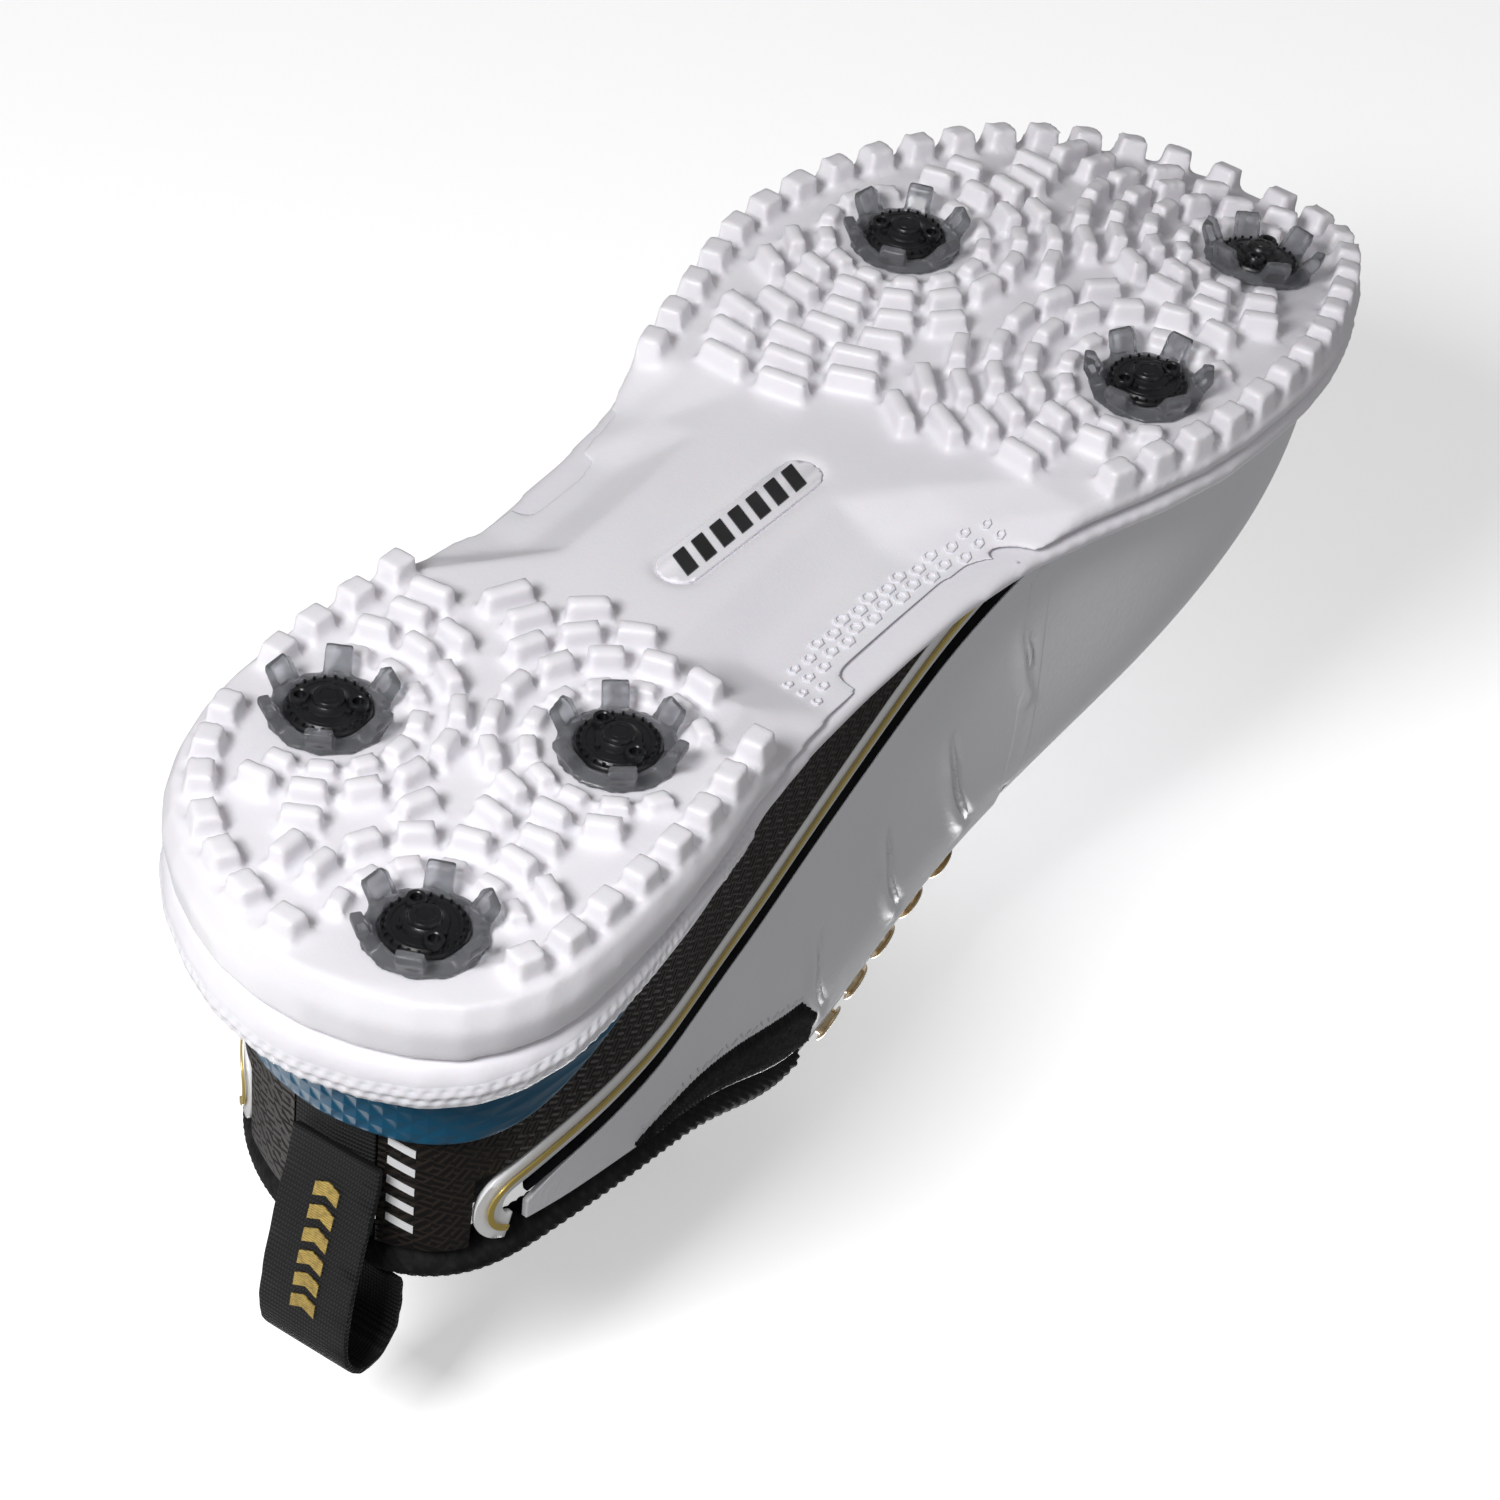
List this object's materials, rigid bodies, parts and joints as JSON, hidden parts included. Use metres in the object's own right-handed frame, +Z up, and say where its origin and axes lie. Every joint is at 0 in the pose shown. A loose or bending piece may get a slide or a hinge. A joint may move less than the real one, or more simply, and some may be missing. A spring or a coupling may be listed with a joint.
{
  "type": "golf shoe",
  "caption": "Low-cut right golf shoe with twist-lock cleats in a lugged white sole, flared heel, white and black panelled upper, knit collar and a heel pull loop.",
  "frame": {"origin": "middle of the bottom face of the bounding box, on the ground under the cleats", "axes": "toe towards -Y, heel towards +Y, medial (big toe) side +X, +Z up"},
  "size_m": [0.113, 0.3154, 0.1355],
  "materials": {
    "white_rubber": "white moulded rubber with a satin surface",
    "white_foam": "white moulded foam skin, dimpled band round the heel",
    "blue_tpu": "translucent petrol blue plastic, fine diamond texture",
    "white_leather": "white smooth leather with fine grain and crease lines",
    "stripe_leather": "white glossy film stripe",
    "black_line": "black edge line",
    "carbon_weave": "dark woven carbon-look panel",
    "knit": "black ribbed knit",
    "tongue_knit": "black padded mesh",
    "webbing": "black woven webbing",
    "gold": "gold film pinstripe",
    "eyelet_metal": "pale champagne gold metal",
    "cleat_hub": "black moulded plastic",
    "cleat_clear": "smoky clear plastic",
    "receptacle": "dark grey plastic insert",
    "board": "pressed fibre board",
    "shank": "stiff composite",
    "footbed": "dark grey cloth over foam",
    "lining": "black mesh lining",
    "stiffener": "stiff thermoplastic sheet",
    "badge": "plain light grey plate"
  },
  "bodies": {
    "shoe": {"outsole": "white_rubber", "sole_badge": "badge", "midsole": "white_foam", "arch_shank": "shank", "insole_board": "board", "footbed": "footbed", "heel_counter": "stiffener", "toe_puff": "stiffener", "vamp_lining": "lining", "vamp": "white_leather", "collar": "knit", "heel_strip": "webbing", "heel_stabiliser": "blue_tpu", "lining_medial": "lining", "carbon_panel_medial": "carbon_weave", "quarter_medial": "white_leather", "eyestay_medial": "white_leather", "stripe_medial": "stripe_leather", "pinstripe_medial": "gold", "edge_line_medial": "black_line", "eyelet_medial_1": "eyelet_metal", "eyelet_medial_2": "eyelet_metal", "eyelet_medial_3": "eyelet_metal", "eyelet_medial_4": "eyelet_metal", "eyelet_medial_5": "eyelet_metal", "lining_lateral": "lining", "carbon_panel_lateral": "carbon_weave", "quarter_lateral": "white_leather", "eyestay_lateral": "white_leather", "stripe_lateral": "stripe_leather", "pinstripe_lateral": "gold", "edge_line_lateral": "black_line", "eyelet_lateral_1": "eyelet_metal", "eyelet_lateral_2": "eyelet_metal", "eyelet_lateral_3": "eyelet_metal", "eyelet_lateral_4": "eyelet_metal", "eyelet_lateral_5": "eyelet_metal", "cleat_toe_receptacle": "receptacle", "cleat_ball_medial_receptacle": "receptacle", "cleat_ball_lateral_receptacle": "receptacle", "cleat_heel_front_receptacle": "receptacle", "cleat_heel_side_receptacle": "receptacle", "cleat_heel_back_receptacle": "receptacle"},
    "tongue": {"tongue": "tongue_knit"},
    "pull_loop": {"pull_loop": "webbing"},
    "cleat_toe": {"cleat_toe_hub": "cleat_hub", "cleat_toe_legs": "cleat_clear"},
    "cleat_ball_medial": {"cleat_ball_medial_hub": "cleat_hub", "cleat_ball_medial_legs": "cleat_clear"},
    "cleat_ball_lateral": {"cleat_ball_lateral_hub": "cleat_hub", "cleat_ball_lateral_legs": "cleat_clear"},
    "cleat_heel_front": {"cleat_heel_front_hub": "cleat_hub", "cleat_heel_front_legs": "cleat_clear"},
    "cleat_heel_side": {"cleat_heel_side_hub": "cleat_hub", "cleat_heel_side_legs": "cleat_clear"},
    "cleat_heel_back": {"cleat_heel_back_hub": "cleat_hub", "cleat_heel_back_legs": "cleat_clear"}
  },
  "joints": [
    {"name": "cleat_toe_twist", "type": "hinge", "parent": "shoe", "child": "cleat_toe", "pos_m": [0.02565, -0.122, 0.01238], "axis": [0, -0.2272, -0.9738], "range_deg": [0, 60]},
    {"name": "cleat_ball_medial_twist", "type": "hinge", "parent": "shoe", "child": "cleat_ball_medial", "pos_m": [0.03415, -0.066, 0.00622], "axis": [0, 0, -1], "range_deg": [0, 60]},
    {"name": "cleat_ball_lateral_twist", "type": "hinge", "parent": "shoe", "child": "cleat_ball_lateral", "pos_m": [-0.02635, -0.0745, 0.00622], "axis": [0, 0, -1], "range_deg": [0, 60]},
    {"name": "cleat_heel_front_twist", "type": "hinge", "parent": "shoe", "child": "cleat_heel_front", "pos_m": [0.02015, 0.0805, 0.00622], "axis": [0, 0, -1], "range_deg": [0, 60]},
    {"name": "cleat_heel_side_twist", "type": "hinge", "parent": "shoe", "child": "cleat_heel_side", "pos_m": [-0.02285, 0.105, 0.00622], "axis": [0, 0, -1], "range_deg": [0, 60]},
    {"name": "cleat_heel_back_twist", "type": "hinge", "parent": "shoe", "child": "cleat_heel_back", "pos_m": [0.02315, 0.137, 0.00622], "axis": [0, 0, -1], "range_deg": [0, 60]},
    {"name": "pull_loop_flex", "type": "hinge", "parent": "shoe", "child": "pull_loop", "pos_m": [0.01215, 0.1432, 0.0572], "axis": [-1, 0, 0], "range_deg": [0, 60]},
    {"name": "tongue_flex", "type": "hinge", "parent": "shoe", "child": "tongue", "pos_m": [-0.00085, -0.044, 0.076], "axis": [1, 0, 0], "range_deg": [-6, 3]}
  ]
}
